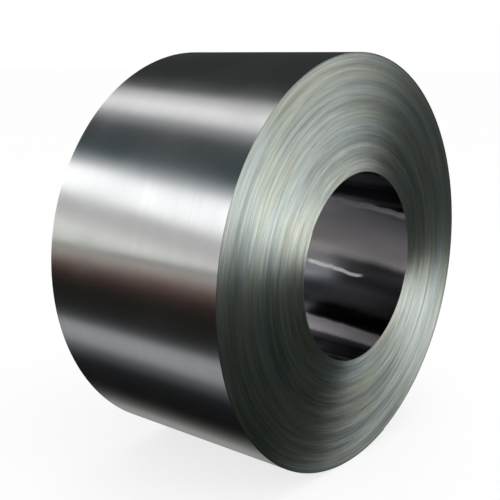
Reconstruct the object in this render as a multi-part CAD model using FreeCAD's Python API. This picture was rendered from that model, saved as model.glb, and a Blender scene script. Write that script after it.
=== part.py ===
"""Nickel alloy strip coil: one continuous strip wound on itself, lying on its side.

The coil is a single turned solid. Its axis lies along X, +Z is up, and the origin is on the floor
under the middle of the coil. Each turn of strip is one ring of the solid, and the rings stand at
slightly different places along the axis, so that every turn shows as its own step on both ends.
All sizes are in millimetres.
"""

import FreeCAD
import Part
import math
import os

# Driving dimensions
strip_width = 570.0        # width of the strip, along the coil's axis
strip_thickness = 2.0      # gauge of the strip, and the radial width of one turn
turn_count = 154           # turns of strip between the bore and the outside
bore_diameter = 508.0      # inside of the first turn, the size of a 20 inch mandrel

# How far the turns stand out of line with each other, along the axis
telescope = 16.0           # from the outermost turn to the innermost, towards +X
weave = 0.9                # slow weave of the strip edge during winding, each way
weave_turns = 23.0         # turns in one weave
scatter = 0.5              # largest difference between neighbouring turns, from play in the guides
flush_turns = 3            # turns at the bore and at the outside that stand level with each other

# Sizes that follow
outside_diameter = bore_diameter + 2 * turn_count * strip_thickness
axis_height = outside_diameter / 2


def scatter_of(turn):
    """A repeatable share from -0.5 to 0.5 that differs from turn to turn."""
    golden_ratio = (1 + math.sqrt(5)) / 2
    return (turn * golden_ratio) % 1.0 - 0.5


def edge_shift(turn):
    """How far one turn stands towards +X, counted from the middle of the coil."""
    last = turn_count - 1
    if turn < flush_turns:
        return telescope / 2
    if turn > last - flush_turns:
        return -telescope / 2
    slope = telescope * (0.5 - turn / last)
    wander = weave * math.sin(2 * math.pi * turn / weave_turns) + scatter * scatter_of(turn)
    return min(max(slope + wander, -telescope / 2), telescope / 2)


def end_outline(side):
    """The stepped edge of the wound strip on one end, from the bore outwards, as (x, radius)."""
    corners = []
    for turn in range(turn_count):
        x = side * strip_width / 2 + edge_shift(turn)
        inner = bore_diameter / 2 + turn * strip_thickness
        if corners and abs(corners[-1][0] - x) < 1e-6:
            corners.pop()              # level with the turn below it, so the two share one flat ring
        else:
            corners.append((x, inner))
        corners.append((x, inner + strip_thickness))
    return corners


def strip_coil():
    """The wound strip, as one solid of revolution about its own axis."""
    outline = end_outline(+1) + end_outline(-1)[::-1]
    points = [FreeCAD.Vector(x, 0, axis_height + radius) for x, radius in outline]
    section = Part.Face(Part.makePolygon(points + points[:1]))
    axis_point = FreeCAD.Vector(0, 0, axis_height)
    return section.revolve(axis_point, FreeCAD.Vector(1, 0, 0), 360)


def main():
    os.makedirs("parts", exist_ok=True)
    coil = strip_coil()
    coil.exportStep("parts/strip_coil.step")
    box = coil.BoundBox
    print("solids", len(coil.Solids), "faces", len(coil.Faces), "valid", coil.isValid())
    print("box", box.XMin, box.XMax, box.YMin, box.YMax, box.ZMin, box.ZMax)
    print("volume in litres", coil.Volume / 1e6)


main()
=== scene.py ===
import math
from bisect import bisect_right

import bmesh
import bpy
from mathutils import Matrix, Vector


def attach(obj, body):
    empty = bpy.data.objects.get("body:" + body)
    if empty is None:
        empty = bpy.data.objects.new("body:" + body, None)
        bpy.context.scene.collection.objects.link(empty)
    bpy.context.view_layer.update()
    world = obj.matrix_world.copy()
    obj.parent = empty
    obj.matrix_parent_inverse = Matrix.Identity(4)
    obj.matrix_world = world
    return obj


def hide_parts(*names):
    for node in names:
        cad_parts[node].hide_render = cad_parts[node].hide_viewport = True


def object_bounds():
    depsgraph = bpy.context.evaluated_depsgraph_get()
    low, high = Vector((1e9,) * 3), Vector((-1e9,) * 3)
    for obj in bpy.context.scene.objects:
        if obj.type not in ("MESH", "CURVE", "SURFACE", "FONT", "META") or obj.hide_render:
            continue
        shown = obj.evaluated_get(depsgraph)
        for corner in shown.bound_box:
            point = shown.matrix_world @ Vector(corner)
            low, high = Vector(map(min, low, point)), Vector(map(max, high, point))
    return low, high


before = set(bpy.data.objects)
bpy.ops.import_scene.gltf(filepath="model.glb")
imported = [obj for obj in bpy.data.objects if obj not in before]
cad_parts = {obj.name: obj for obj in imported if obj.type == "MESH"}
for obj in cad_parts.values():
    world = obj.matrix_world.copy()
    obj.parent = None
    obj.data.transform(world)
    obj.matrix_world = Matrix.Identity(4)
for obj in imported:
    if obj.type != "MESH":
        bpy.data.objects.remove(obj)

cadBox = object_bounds()
print("frame loaded", [tuple(round(c, 4) for c in corner) for corner in cadBox])


class Field:
    # a shader socket that plain sums can be written on
    def __init__(self, finish, socket):
        self.finish = finish
        self.socket = socket

    def maths(self, operation, first, second=0.0, clamp=False):
        return self.finish.node("ShaderNodeMath", {"operation": operation, "use_clamp": clamp},
                                {0: first, 1: second})

    def __add__(self, other):
        return self.maths("ADD", self, other)

    def __sub__(self, other):
        return self.maths("SUBTRACT", self, other)

    def __rsub__(self, other):
        return self.maths("SUBTRACT", other, self)

    def __mul__(self, other):
        return self.maths("MULTIPLY", self, other)

    def __truediv__(self, other):
        return self.maths("DIVIDE", self, other)

    def __pow__(self, other):
        return self.maths("POWER", self, other)

    __radd__ = __add__
    __rmul__ = __mul__

    def held(self):
        return self.maths("ADD", self, 0.0, clamp=True)


class Finish:
    # one material or world, and the nodes it is made of
    def __init__(self, name, owner=None):
        self.owner = owner or bpy.data.materials.new(name)
        self.owner.use_nodes = True
        self.tree = self.owner.node_tree
        self.tree.nodes.clear()

    def node(self, kind, settings=None, inputs=None, output=0):
        made = self.tree.nodes.new(kind)
        for key, value in (settings or {}).items():
            if key == "stops":
                self.fillRamp(made.color_ramp, value)
            elif key == "interpolation":
                made.color_ramp.interpolation = value
            else:
                setattr(made, key, value)
        for key, value in (inputs or {}).items():
            if isinstance(value, Field):
                self.tree.links.new(value.socket, made.inputs[key])
            else:
                made.inputs[key].default_value = value
        return Field(self, made.outputs[output] if made.outputs else None)

    def fillRamp(self, ramp, stops):
        while len(ramp.elements) < len(stops):
            ramp.elements.new(0.5)
        for element, (place, colour) in zip(ramp.elements, stops):
            element.position = place
            element.color = (*colour, 1.0)

    def mixed(self, factor, first, second, blend="MIX"):
        return self.node("ShaderNodeMix", {"data_type": "RGBA", "blend_type": blend},
                         {0: factor, 6: first, 7: second}, 2)

    def noise(self, vector, scale=1.0, detail=2.0, roughness=0.5):
        return self.node("ShaderNodeTexNoise", {},
                         {"Vector": vector, "Scale": scale, "Detail": detail, "Roughness": roughness})

    def spread(self, value, low, high, newLow=0.0, newHigh=1.0):
        return self.node("ShaderNodeMapRange", {"interpolation_type": "SMOOTHSTEP"},
                         {"Value": value, "From Min": low, "From Max": high,
                          "To Min": newLow, "To Max": newHigh})

    def polar(self):
        # unit direction round the coil's axis, distance from it and place along it, in metres
        across, up, along = self.parts()
        radius = (across * across + up * up) ** 0.5
        return across / radius, up / radius, radius, along

    def point(self, x, y, z):
        return self.node("ShaderNodeCombineXYZ", {}, {0: x, 1: y, 2: z})

    def degreesOf(self, first, second):
        return self.node("ShaderNodeMath", {"operation": "ARCTAN2"}, {0: first, 1: second}) * (180 / math.pi)

    def unsigned(self, value):
        return self.node("ShaderNodeMath", {"operation": "ABSOLUTE"}, {0: value})

    def surface(self, shader):
        self.node("ShaderNodeOutputMaterial", {}, {"Surface": shader})
        return self.owner

    def metal(self, colour, roughness, bump, brushed):
        # brushed is how far the highlights stretch across the winding lines
        return self.surface(self.node("ShaderNodeBsdfPrincipled", {}, {
            "Base Color": colour, "Metallic": 1.0, "Roughness": roughness, "Normal": bump,
            "Anisotropic": brushed, "Anisotropic Rotation": 0.25}))

    def bump(self, height, strength, distance):
        return self.node("ShaderNodeBump", {}, {"Strength": strength, "Distance": distance, "Height": height})

    def parts(self):
        split = self.node("ShaderNodeSeparateXYZ", {}, {0: self.node("ShaderNodeTexCoord", output="Object")})
        return [Field(self, socket) for socket in split.socket.node.outputs]


coil = {
    "flatsPerTurn": 150,
    "fullTurns": 152,          # whole turns between the strip's two ends, besides the last part turn
    "leadAngle": 150.0,        # where the strip starts in the bore, in degrees round from +Y
    "tailAngle": 289.2,        # where its outer end lies, low down at the back
    "wallRows": 12,            # rows along the axis on the outer wrap and in the bore
    "boreWave": 0.0006,        # how far the loose inner wrap wanders, in metres
    "wrapWave": 0.00022,       # the same for the tight outer wrap
    "stepMargin": 0.001,       # how far inside a ring its level is read, in metres
    "joinReach": 0.000002,     # points closer than this are one, in metres
    "smoothUpTo": 30.0,        # edges sharper than this many degrees stay crisp
}

# where each part of the strip lies in its map, from and to in V; each turn takes its own line of the ends
mapPlaces = {
    "ends": ((0.005, 0.365), (0.375, 0.735)),
    "outerWall": (0.745, 0.885),
    "boreWall": (0.895, 0.985),
    "cutEnds": (0.987, 0.993),
    "cutHeight": 0.004,
    "edgeShare": 0.85,         # share of a turn's line that its edge takes, the rest is the step beside it
}


def edgeLevels(node, axisHeight, side):
    # where each ring of the solid's end stands along the axis: (radius, place)
    rings = {}
    for vertex in node.data.vertices:
        x, y, z = node.matrix_world @ vertex.co
        if x * side > 0:
            radius = round(math.hypot(y, z - axisHeight), 4)
            rings.setdefault(radius, set()).add(round(x, 5))
    radii = sorted(rings)
    margin = coil["stepMargin"]
    levels, level = [], None
    for inner, outer in zip(radii, radii[1:]):
        # a turn's edge is the place that both its circles share, and it isn't the last turn's
        shared = sorted(rings[inner] & rings[outer])
        level = next((x for x in shared if x != level), level)
        levels += [(inner + margin, level), (outer - margin, level)]
    return levels


def levelAt(levels, radius):
    place = bisect_right(levels, (radius, math.inf))
    if place == 0:
        return levels[0][1]
    if place == len(levels):
        return levels[-1][1]
    (inner, before), (outer, after) = levels[place - 1], levels[place]
    if math.isclose(inner, outer, abs_tol=1e-7):
        return before
    return before + (after - before) * (radius - inner) / (outer - inner)


def boreWander(angle, along):
    # 0 at both rims and up to 1 between them
    swing = 0.5 + 0.3 * math.sin(5 * angle + 1.6 * along) + 0.2 * math.sin(9 * angle - 4.0 * along + 1.0)
    return swing * math.sin(math.pi * min(1.0, (1 - abs(along)) * 2.2) / 2)


def wrapWander(angle, along):
    swing = 0.5 + 0.3 * math.sin(4 * angle + 2.2 * along + 0.6) + 0.2 * math.sin(11 * angle - 3.0 * along)
    return -swing * math.sin(math.pi * min(1.0, (1 - abs(along)) * 3.0) / 2)


def woundStrip(front, rear, boreRadius, outsideRadius):
    flats = coil["flatsPerTurn"]
    rows = coil["wallRows"]
    lead = math.radians(coil["leadAngle"])
    partTurn = ((coil["tailAngle"] - coil["leadAngle"]) % 360) / 360
    last = round(flats * (coil["fullTurns"] + partTurn))
    pitch = (outsideRadius - boreRadius) / (last / flats + 1)
    points, faces, kinds, mapped = [], [], [], []
    wrapKind, edgeKind, boreKind = range(3)      # the order of the three finishes on the piece

    def angleOf(step):
        return lead + 2 * math.pi * step / flats

    def addPoint(angle, radius, along):
        points.append((radius * math.cos(angle), radius * math.sin(angle), along))
        return len(points) - 1

    def addFace(corners, kind, places):
        faces.append(corners)
        kinds.append(kind)
        mapped.extend(places)

    # the strip's two edges, one on each end of the coil, from the lead in the bore to the tail outside
    edges = []
    for levels in (front, rear):
        inner, outer = [], []
        for step in range(last + 1):
            radius = boreRadius + pitch * step / flats
            along = levelAt(levels, radius + pitch / 2)
            inner.append(addPoint(angleOf(step), radius, along))
            outer.append(addPoint(angleOf(step), radius + pitch, along))
        edges.append((inner, outer))

    for (inner, outer), (low, high), turned in zip(edges, mapPlaces["ends"], (False, True)):
        perTurn = (high - low) / (last / flats + 1)
        for step in range(last):
            left, right = (step % flats) / flats, (step % flats + 1) / flats
            foot = low + perTurn * step / flats
            footNext = low + perTurn * (step + 1) / flats
            brow = foot + perTurn * mapPlaces["edgeShare"]
            browNext = footNext + perTurn * mapPlaces["edgeShare"]
            land = [inner[step], outer[step], outer[step + 1], inner[step + 1]]
            places = [(left, foot), (left, brow), (right, browNext), (right, footNext)]
            addFace(land[::-1] if turned else land, edgeKind, places[::-1] if turned else places)
            if step + flats < last:
                riser = [outer[step + 1], outer[step], inner[step + flats], inner[step + flats + 1]]
                places = [(right, browNext), (left, brow),
                          (left, foot + perTurn), (right, footNext + perTurn)]
                addFace(riser[::-1] if turned else riser, edgeKind, places[::-1] if turned else places)

    # the two round walls, from the front end to the rear one
    def wallOf(frontLine, rearLine, firstStep, radiusLift, wander, depth, kind, band, turned):
        low, high = band
        grid = []
        for column in range(flats + 1):
            step = firstStep + column
            radius = boreRadius + pitch * step / flats + radiusLift
            top, bottom = points[frontLine[step]][2], points[rearLine[step]][2]
            line = [frontLine[step]]
            for row in range(1, rows):
                along = top + (bottom - top) * row / rows
                shift = depth * wander(angleOf(step), 1 - 2 * row / rows)
                line.append(addPoint(angleOf(step), radius + shift, along))
            grid.append(line + [rearLine[step]])
        for column in range(flats):
            left = ((firstStep + column) % flats) / flats
            for row in range(rows):
                corners = [(column, row), (column + 1, row), (column + 1, row + 1), (column, row + 1)]
                if turned:
                    corners = corners[::-1]
                places = [(left + (c - column) / flats, low + (high - low) * r / rows) for c, r in corners]
                addFace([grid[c][r] for c, r in corners], kind, places)
        return grid

    (frontInner, frontOuter), (rearInner, rearOuter) = edges
    outerWall = wallOf(frontOuter, rearOuter, last - flats, pitch, wrapWander, coil["wrapWave"],
                       wrapKind, mapPlaces["outerWall"], True)
    boreWall = wallOf(frontInner, rearInner, 0, 0.0, boreWander, coil["boreWave"],
                      boreKind, mapPlaces["boreWall"], False)

    # the cut ends of the strip: the lead in the bore and the tail on the outside
    leadLow, tailLow = mapPlaces["cutEnds"]
    rise = mapPlaces["cutHeight"]
    for wall, near, far, kind, low in ((boreWall, 0, -1, boreKind, leadLow),
                                       (outerWall, -1, 0, wrapKind, tailLow)):
        for row in range(rows):
            left, right = row / rows, (row + 1) / rows
            corners = [wall[far][row], wall[near][row], wall[near][row + 1], wall[far][row + 1]]
            addFace(corners, kind, [(left, low), (left, low + rise), (right, low + rise), (right, low)])

    mesh = bpy.data.meshes.new("nickelStripCoil")
    mesh.from_pydata(points, [], faces)
    mesh.polygons.foreach_set("material_index", kinds)
    layer = mesh.uv_layers.new(name="OFBake")
    layer.uv.foreach_set("vector", [value for place in mapped for value in place])
    shape = bmesh.new()
    shape.from_mesh(mesh)
    bmesh.ops.remove_doubles(shape, verts=shape.verts, dist=coil["joinReach"])
    bmesh.ops.dissolve_degenerate(shape, edges=shape.edges, dist=coil["joinReach"] / 2)
    openEdges = sum(1 for edge in shape.edges if len(edge.link_faces) != 2)
    triangles = sum(len(face.verts) - 2 for face in shape.faces)
    shape.to_mesh(mesh)
    shape.free()
    mesh.shade_smooth()
    mesh.set_sharp_from_angle(angle=math.radians(coil["smoothUpTo"]))
    print("coil wound:", round(last / flats + 1, 2), "turns,", triangles, "triangles, open edges", openEdges)
    return mesh


wrapLook = {
    "paleSteel": (0.70, 0.70, 0.695, 1.0),
    "dullSteel": (0.58, 0.585, 0.59, 1.0),
    "roughness": 0.17,
    "handledRoughness": 0.04,  # added where the wrap was handled
    "brushed": 0.15,
}


def outerWrap():
    finish = Finish("brightOuterWrap")
    across, up, _, along = finish.polar()
    rolledLines = finish.noise(finish.point(across * 0.45 + 0.5, up * 0.45 + 0.5, along * 300), detail=3.0)
    broadLines = finish.noise(finish.point(across * 0.8, up * 0.8, along * 60), detail=2.0)
    patches = finish.noise(finish.point(across * 3.1, up * 3.1, along * 5.0), detail=1.5)
    handled = finish.spread(patches, 0.42, 0.7)
    tone = (rolledLines * 0.35 + broadLines * 0.4 + handled * 0.25).held()
    colour = finish.mixed(tone, wrapLook["paleSteel"], wrapLook["dullSteel"])
    roughness = wrapLook["roughness"] + handled * wrapLook["handledRoughness"] + (rolledLines - 0.5) * 0.03
    return finish.metal(colour, roughness, finish.bump(rolledLines, 0.012, 0.0004), wrapLook["brushed"])


edgeLook = {
    "paleEdge": (0.90, 0.945, 0.89, 1.0),
    "darkEdge": (0.36, 0.40, 0.365, 1.0),
    "rimShade": (0.06, 0.07, 0.065, 1.0),
    "strawTint": (1.0, 0.97, 0.84, 1.0),
    "blueTint": (0.87, 0.94, 1.0, 1.0),
    "tinted": 0.6,             # how strongly some runs of turns take those tints
    "roughness": 0.45,
    "shadedRimWidth": 0.006,         # painted shade band at the outer rim, in metres
    "brushed": 1.0,
    # tone of the winding from the bore, 0, to the outside, 1: a painted highlight at the bore's rim, then
    # lighter and darker bands by radius, with a dark line at about 0.535
    "rimHighlightAndBands": [(0.0, 0.85), (0.012, 0.50), (0.03, 0.55), (0.30, 0.48), (0.52, 0.56), (0.535, 0.40), (0.56, 0.52),
             (0.80, 0.50), (1.0, 0.42)],
    "lowerDarkening": 0.22,           # how much darker the end is towards the bottom
}


def turnEdges(boreRadius, outsideRadius):
    finish = Finish("stripEdges")
    across, up, radius, along = finish.polar()
    side = finish.spread(along, -0.01, 0.01) * 7.0      # the two ends don't share a pattern

    def streaks(perTurn, perMetre, detail=2.0, roughness=0.5):
        place = finish.point(across * perTurn, up * perTurn, radius * perMetre + side)
        return finish.noise(place, detail=detail, roughness=roughness)

    single = streaks(4.0, 330.0, 3.0, 0.7)
    several = streaks(1.3, 115.0, 2.0, 0.55)
    bands = streaks(0.5, 26.0, 2.0)
    share = (radius - boreRadius) / (outsideRadius - boreRadius)
    stops = [(place, (tone,) * 3) for place, tone in edgeLook["rimHighlightAndBands"]]
    # a painted highlight at the bore's rim, then bands of tone by radius
    rimHighlightAndBands = finish.node("ShaderNodeValToRGB", {"interpolation": "LINEAR", "stops": stops}, {0: share})
    # darker towards the bottom
    lowerDarkening = finish.spread(up * radius, 0.0, -0.45) * edgeLook["lowerDarkening"]
    tone = ((single - 0.5) * 1.3 + (several - 0.5) * 1.15 + (bands - 0.5) * 0.6 + rimHighlightAndBands - lowerDarkening).held()
    colour = finish.mixed(tone, edgeLook["darkEdge"], edgeLook["paleEdge"])
    straw = finish.spread(streaks(1.6, 17.0), 0.48, 0.66) * edgeLook["tinted"]
    colour = finish.mixed(straw, colour, edgeLook["strawTint"], "MULTIPLY")
    blue = finish.spread(streaks(1.3, 12.0), 0.48, 0.66) * edgeLook["tinted"]
    colour = finish.mixed(blue, colour, edgeLook["blueTint"], "MULTIPLY")
    # painted shade along the outer rim, darker on one side than the other
    shadedRimWidth = edgeLook["shadedRimWidth"]
    rim = finish.spread(radius, outsideRadius - shadedRimWidth, outsideRadius - shadedRimWidth * 0.4)
    rimShaded = rim * finish.spread(across, -0.3, 0.5, 0.35, 1.0)
    colour = finish.mixed(rimShaded, colour, edgeLook["rimShade"])
    roughness = edgeLook["roughness"] + (several - 0.5) * 0.22 + (single - 0.5) * 0.12
    bump = finish.bump(single * 0.6 + several * 0.4, 0.22, 0.0009)
    return finish.metal(colour, roughness, bump, edgeLook["brushed"])


boreLook = {
    "brightReflectionSteel": (0.95, 0.91, 0.94, 1.0),
    "darkReflectionSteel": (0.050, 0.056, 0.066, 1.0),
    "highlightStreakSteel": (0.84, 0.84, 0.86, 1.0),
    "roughness": 0.13,
    "brightBandRoughness": 0.31,    # added where the painted reflection bands are bright
    "brushed": 0.3,
    # how bright the inner wrap's painted reflection bands are, by degrees round from +Y: 0 takes the dark
    # steel, 1 the bright
    "paintedReflectionBands": [
        (-90, 0.05), (-68, 0.04), (-65, 0.72), (-56.5, 0.66), (-53, 0.02), (-45, 0.02), (-40, 0.24),
        (-31, 0.16), (-22, 0.06), (-11, 0.26), (-4, 0.90), (8, 1.0), (24, 0.85), (31, 0.6), (35, 0.03),
        (76, 0.02), (98, 0.35), (124, 0.8), (150, 0.75), (163, 0.08), (188, 0.05), (204, 0.5), (224, 0.7),
        (240, 0.08), (270, 0.05)],
    # painted highlight streaks: degrees, half width in degrees, from and to along the axis
    "paintedHighlightStreaks": [(31.6, 3.6, 0.07, 0.32), (-17.8, 1.7, -0.06, 0.165), (152.0, 2.2, -0.16, 0.20),
               (213.0, 1.8, -0.25, 0.02)],
    "drift": -22.0,            # how far the painted reflection bands and highlight streaks turn along the axis, in degrees per metre
    "waver": 4.0,              # how far a painted highlight streak strays from its line, in degrees
}


def innerWrap():
    finish = Finish("paintedReflectionInnerWrap")
    across, up, _, along = finish.polar()
    # measured from -90 degrees, so that the join lies at the bottom of the bore
    turn = finish.degreesOf(across, 0.0 - up)
    fromBottom = finish.node("ShaderNodeMath", {"operation": "FLOORED_MODULO"}, {0: turn, 1: 360.0})
    sway = finish.noise(finish.point(across * 0.8, up * 0.8, along * 9.0), detail=2.0)
    leaned = fromBottom - along * boreLook["drift"] + (sway - 0.5) * 5.0
    # painted reflection bands: the colour runs from dark to bright steel by degrees round the axis
    stops = [((degrees + 90) / 360, (bandBrightness,) * 3) for degrees, bandBrightness in boreLook["paintedReflectionBands"]]
    bandBrightness = finish.node("ShaderNodeValToRGB", {"interpolation": "EASE", "stops": stops}, {0: leaned / 360.0})
    rolledLines = finish.noise(finish.point(across * 1.1, up * 1.1, along * 520), detail=3.0, roughness=0.6)
    film = finish.noise(finish.point(across * 2.0, up * 2.0, along * 5.0), detail=4.0)
    tone = (bandBrightness * (0.8 + film * 0.4) + (rolledLines - 0.5) * 0.05).held()
    # painted highlight streaks, thin pale lines along the axis
    streakHighlight = 0.0
    waver = (finish.noise(finish.point(along * 13.0, 0.0, 0.0), detail=1.0) - 0.5) * boreLook["waver"]
    for degrees, width, begin, stop in boreLook["paintedHighlightStreaks"]:
        off = finish.unsigned(leaned + waver - (degrees + 90))
        line = finish.spread(off, width, width * 0.3)
        inside = finish.spread(along, begin, begin + 0.03) * finish.spread(along, stop, stop - 0.03)
        streakHighlight = line * inside + streakHighlight
    streakHighlight = (streakHighlight * (0.7 + film * 0.6)).held()
    colour = finish.mixed(tone, boreLook["darkReflectionSteel"], boreLook["brightReflectionSteel"])
    colour = finish.mixed(streakHighlight, colour, boreLook["highlightStreakSteel"])
    roughness = boreLook["roughness"] + tone * boreLook["brightBandRoughness"] + streakHighlight * 0.3
    return finish.metal(colour, roughness, finish.bump(rolledLines, 0.05, 0.0004), boreLook["brushed"])


def makeCoil():
    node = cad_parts["strip_coil"]
    low, high = cadBox
    axisHeight = (low[2] + high[2]) / 2
    outsideRadius = (high[2] - low[2]) / 2
    front = edgeLevels(node, axisHeight, +1)
    rear = edgeLevels(node, axisHeight, -1)
    boreRadius = front[0][0] - coil["stepMargin"]
    mesh = woundStrip(front, rear, boreRadius, outsideRadius)
    piece = bpy.data.objects.new("nickel_strip_coil", mesh)
    bpy.context.scene.collection.objects.link(piece)
    # the mesh is wound about its own Z, and that axis lies along +X here
    piece.matrix_world = Matrix(((0, 0, 1, 0), (1, 0, 0, 0), (0, 1, 0, axisHeight), (0, 0, 0, 1)))
    for material in (outerWrap(), turnEdges(boreRadius, outsideRadius), innerWrap()):
        mesh.materials.append(material)
    bpy.context.view_layer.update()
    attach(piece, "root")
    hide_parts("strip_coil")
    print("coil in place: bore radius", round(boreRadius, 4), "outside radius", round(outsideRadius, 4))
    return axisHeight


studio = {
    "floorColour": (0.95, 0.95, 0.95, 1.0),
    "floorGlow": 0.74,         # share of the floor that shows as plain white
    "floorReach": 60.0,        # half the floor's width, in metres
    "cardRadius": 12.0,        # the cards hang as a vault over the coil, and the mats reach as far out
    "cardLength": 30.0,
    "cardSteps": 46,
    "cardStart": -3.0,         # from just below the axis on one side round to just below it on the other
    "cardEnd": 183.0,
    "matHeight": 0.0008,
    "matJoin": 0.04,           # where side mats and front mats meet, in metres in front of the coil's end
    "slant": 2.4,              # how far the rear cards hang askew, in degrees per metre
    "slantFrom": -11.4,        # place along the axis where they hang true
}

# tones of the cards by degrees round the axis, from +Y over the top to -Y
rearCards = [
    (-4, (0.036, 0.04, 0.04)), (60, (0.032, 0.037, 0.036)), (71, (0.07, 0.075, 0.075)),
    (81, (0.78, 0.78, 0.78)), (87, (1.15, 1.15, 1.15)), (92, (1.0, 1.0, 1.0)), (100, (0.27, 0.28, 0.29)),
    (107, (0.07, 0.078, 0.085)), (127, (0.045, 0.066, 0.072)), (134, (0.36, 0.40, 0.43)),
    (140, (1.68, 1.69, 1.71)), (152, (1.60, 1.62, 1.63)), (159, (0.52, 0.52, 0.53)),
    (164, (0.58, 0.55, 0.55)), (169, (0.62, 0.61, 0.60)), (174, (0.98, 1.0, 0.97)), (182, (0.86, 0.88, 0.82)),
]
frontCards = [
    (-4, (0.10, 0.11, 0.11)), (6, (0.22, 0.23, 0.23)), (18, (1.15, 1.15, 1.15)), (52, (1.15, 1.15, 1.15)),
    (62, (0.45, 0.45, 0.46)), (70, (0.45, 0.45, 0.46)), (80, (1.1, 1.1, 1.1)), (112, (1.1, 1.1, 1.1)),
    (120, (0.45, 0.45, 0.46)), (128, (0.45, 0.45, 0.46)), (136, (1.25, 1.25, 1.25)), (165, (1.2, 1.2, 1.2)),
    (184, (0.5, 0.5, 0.5)),
]
# tones of the mats on the floor, by distance from under the axis, in metres
sideMats = [
    (0.0, (0.20, 0.20, 0.20)), (0.28, (0.33, 0.33, 0.325)), (0.325, (0.17, 0.17, 0.165)),
    (0.37, (0.03, 0.03, 0.028)), (0.42, (0.008, 0.008, 0.008)), (0.58, (0.012, 0.013, 0.014)),
    (0.66, (0.09, 0.095, 0.10)), (0.75, (0.38, 0.40, 0.42)), (0.87, (0.40, 0.42, 0.44)),
    (0.97, (0.05, 0.053, 0.053)), (1.10, (0.017, 0.017, 0.016)), (1.60, (0.013, 0.012, 0.010)),
    (2.10, (0.03, 0.018, 0.016)), (2.70, (0.085, 0.052, 0.045)),
    (5.00, (0.36, 0.29, 0.26)), (9.00, (0.6, 0.58, 0.55)),
]
frontMats = [
    (0.0, (0.03, 0.036, 0.033)), (1.0, (0.035, 0.04, 0.037)), (3.0, (0.085, 0.09, 0.087)),
    (12.0, (0.13, 0.13, 0.13)),
    (30.0, (0.3, 0.3, 0.3)),
]


def onlyInReflections(piece):
    piece.visible_camera = False
    piece.visible_diffuse = False
    piece.visible_shadow = False
    piece.visible_transmission = False


def cardFinish(name, stops, place):
    # place works out where on the row of stops a point lies, from its x, y and z
    finish = Finish(name)
    x, y, z = finish.parts()
    first, last = stops[0][0], stops[-1][0]
    spread = [((at - first) / (last - first), colour) for at, colour in stops]
    tone = finish.node("ShaderNodeValToRGB", {"interpolation": "EASE", "stops": spread},
                       {0: (place(finish, x, y, z) - first) / (last - first)})
    return finish.surface(finish.node("ShaderNodeEmission", {}, {"Color": tone, "Strength": 1.0}))


def meshPiece(name, points, faces, material):
    mesh = bpy.data.meshes.new(name)
    mesh.from_pydata(points, [], faces)
    mesh.materials.append(material)
    piece = bpy.data.objects.new(name, mesh)
    bpy.context.scene.collection.objects.link(piece)
    return piece


def cardVault(name, stops, side, axisHeight):
    steps = studio["cardSteps"]
    radius = studio["cardRadius"]
    start = studio["cardStart"]
    slant = studio["slant"] if side < 0 else 0.0

    def degreesRound(finish, x, y, z):
        return finish.degreesOf(z, y) - (x - studio["slantFrom"]) * slant

    points, faces = [], []
    for step in range(steps + 1):
        angle = math.radians(start + (studio["cardEnd"] - start) * step / steps)
        for along in (0.0, side * studio["cardLength"]):
            points.append((along, radius * math.cos(angle), radius * math.sin(angle)))
    for step in range(steps):
        faces.append((2 * step, 2 * step + 1, 2 * step + 3, 2 * step + 2))
    vault = meshPiece(name, points, faces, cardFinish(name + "Tone", stops, degreesRound))
    vault.location = (0, 0, axisHeight)
    onlyInReflections(vault)


def floorMat(name, stops, fromX, toX, place):
    reach = studio["cardRadius"]
    height = studio["matHeight"]
    points = [(fromX, -reach, height), (toX, -reach, height), (toX, reach, height), (fromX, reach, height)]
    onlyInReflections(meshPiece(name, points, [(0, 1, 2, 3)], cardFinish(name + "Tone", stops, place)))


# each lamp faces the coil's middle: place in metres, width and power in watts
lamps = {
    "windowLight": ((2.4, -4.4, 3.4), 3.0, 30.0),
    "overheadLight": ((0.9, 0.8, 4.6), 3.0, 20.0),
    "frontLight": ((4.7, -0.3, 2.3), 2.6, 44.0),
}


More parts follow.
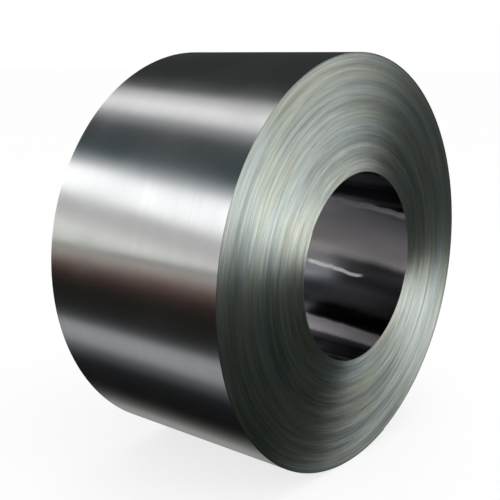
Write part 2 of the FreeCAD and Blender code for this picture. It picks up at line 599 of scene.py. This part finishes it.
def makeFloor():
    floor = Finish("paleFloor")
    rays = floor.node("ShaderNodeLightPath")
    seen = [Field(floor, rays.socket.node.outputs[name])
            for name in ("Is Camera Ray", "Is Glossy Ray", "Is Transmission Ray")]
    plain = floor.node("ShaderNodeBsdfDiffuse", {}, {"Color": studio["floorColour"]})
    white = floor.node("ShaderNodeEmission", {}, {"Color": (1, 1, 1, 1), "Strength": 1.0})
    share = (seen[0] + seen[1] + seen[2]).held() * studio["floorGlow"]
    material = floor.surface(floor.node("ShaderNodeMixShader", {}, {0: share, 1: plain, 2: white}))
    reach = studio["floorReach"]
    points = [(-reach, -reach, 0), (reach, -reach, 0), (reach, reach, 0), (-reach, reach, 0)]
    meshPiece("studioFloor", points, [(0, 1, 2, 3)], material)


def makeLamp(name, place, width, watts, target):
    lamp = bpy.data.lights.new(name, "AREA")
    lamp.size = width
    lamp.energy = watts
    holder = bpy.data.objects.new(name, lamp)
    holder.location = place
    holder.rotation_euler = (target - Vector(place)).to_track_quat("-Z", "Y").to_euler()
    bpy.context.scene.collection.objects.link(holder)


def makeStudio(axisHeight, frontX):
    makeFloor()
    cardVault("rearCards", rearCards, -1, axisHeight)
    cardVault("frontCards", frontCards, +1, axisHeight)
    length = studio["cardLength"]
    join = frontX + studio["matJoin"]
    floorMat("sideMats", sideMats, -length, join, lambda finish, x, y, z: finish.unsigned(y))
    floorMat("frontMats", frontMats, join, length, lambda finish, x, y, z: x - frontX)
    for name, (place, width, watts) in lamps.items():
        makeLamp(name, place, width, watts, Vector((0, 0, axisHeight)))

    world = bpy.data.worlds.new("whiteStudio")
    bpy.context.scene.world = world
    air = Finish("whiteStudio", world)
    glow = air.node("ShaderNodeBackground", {}, {"Color": (1, 1, 1, 1), "Strength": 1.0})
    air.node("ShaderNodeOutputWorld", {}, {"Surface": glow})
    print("studio lit")


cameraPlace = {
    "location": (1.5276, -1.9667, 1.1154),
    "facing": (-0.6194, 0.7551, -0.2148),
    "lens": 63.9,
    "sensor": 36.0,
    "farthest": 200.0,
}


def makeCamera():
    camera = bpy.data.cameras.new("frontQuarter")
    camera.sensor_width = cameraPlace["sensor"]
    camera.lens = cameraPlace["lens"]
    camera.clip_end = cameraPlace["farthest"]
    holder = bpy.data.objects.new("frontQuarter", camera)
    holder.location = cameraPlace["location"]
    holder.rotation_euler = Vector(cameraPlace["facing"]).to_track_quat("-Z", "Y").to_euler()
    bpy.context.scene.collection.objects.link(holder)
    bpy.context.scene.camera = holder
    bpy.context.scene.view_settings.view_transform = "Standard"
    print("camera set")


axisHeight = makeCoil()
makeStudio(axisHeight, cadBox[1][0])
makeCamera()
